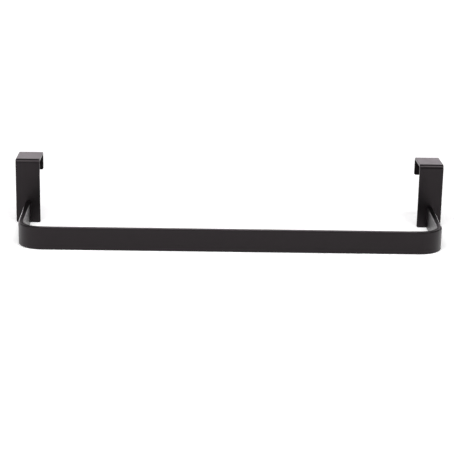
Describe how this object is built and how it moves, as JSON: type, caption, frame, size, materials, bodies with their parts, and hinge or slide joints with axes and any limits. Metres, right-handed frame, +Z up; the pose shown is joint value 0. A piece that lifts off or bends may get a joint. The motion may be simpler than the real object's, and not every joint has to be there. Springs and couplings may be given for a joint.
{
  "type": "over-cabinet towel bar",
  "caption": "Over-cabinet towel bar: a flat steel rail bent to a U with rounded corners, carried on folded strip hooks that slip over the top edge of a cabinet door.",
  "frame": {"origin": "under the middle of the whole part, level with the foot of the hooks and the bottom edge of the rail", "axes": "+X along the rail, +Y from the room into the cabinet, +Z up"},
  "size_m": [0.2532, 0.0788, 0.0384],
  "materials": {
    "black_powder_coat": "smooth semi-gloss black powder coat on mild steel"
  },
  "bodies": {
    "root": {"rail": "black_powder_coat", "left_hook": "black_powder_coat", "right_hook": "black_powder_coat"}
  },
  "joints": []
}
